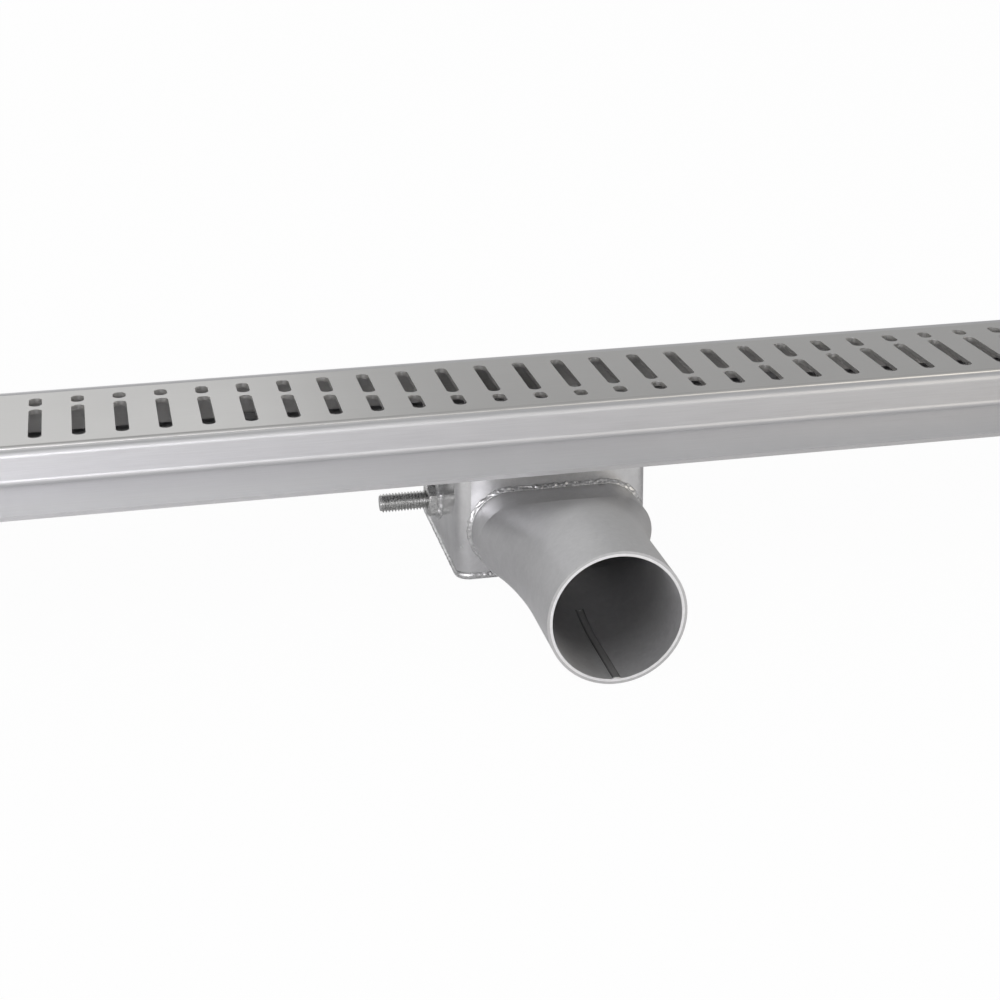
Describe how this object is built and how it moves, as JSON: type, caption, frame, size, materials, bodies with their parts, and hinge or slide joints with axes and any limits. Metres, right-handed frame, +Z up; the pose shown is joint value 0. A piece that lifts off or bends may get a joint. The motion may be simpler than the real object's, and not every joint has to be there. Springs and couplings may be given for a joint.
{
  "type": "channel drain",
  "caption": "Stainless linear channel drain with a wave-slotted grate, wide flanges, a boxed odour trap and an oval-to-round side outlet.",
  "frame": {"origin": "centre of the grate's top face, over the centre of the channel", "axes": "+X along the channel, +Z up, the outlet points along -Y"},
  "size_m": [0.752, 0.1608, 0.0561],
  "materials": {
    "channel_steel": "satin, brushed along the channel",
    "grate_steel": "satin, brushed along the cover",
    "sump_steel": "bright mill finish, pickled welds",
    "pipe_steel": "matt pickled",
    "bolt_steel": "plain turned",
    "strainer_steel": "satin",
    "trap_plastic": "moulded",
    "rubber": "matt"
  },
  "bodies": {
    "root": {"channel_trough": "channel_steel", "end_cap_left": "channel_steel", "end_cap_right": "channel_steel", "grate": "grate_steel", "grate_leg_front": "grate_steel", "grate_leg_right": "grate_steel", "grate_leg_back": "grate_steel", "grate_leg_left": "grate_steel", "sump_wall": "sump_steel", "sump_floor": "sump_steel", "outlet_pipe": "pipe_steel", "earth_bolt": "bolt_steel", "trap_gasket": "rubber", "trap_dip_tube": "trap_plastic", "trap_cup": "trap_plastic", "hair_strainer": "strainer_steel", "grate_pad_1": "rubber", "grate_pad_2": "rubber", "grate_pad_3": "rubber", "grate_pad_4": "rubber", "grate_pad_5": "rubber", "grate_pad_6": "rubber", "grate_pad_7": "rubber", "grate_pad_8": "rubber"}
  },
  "joints": []
}
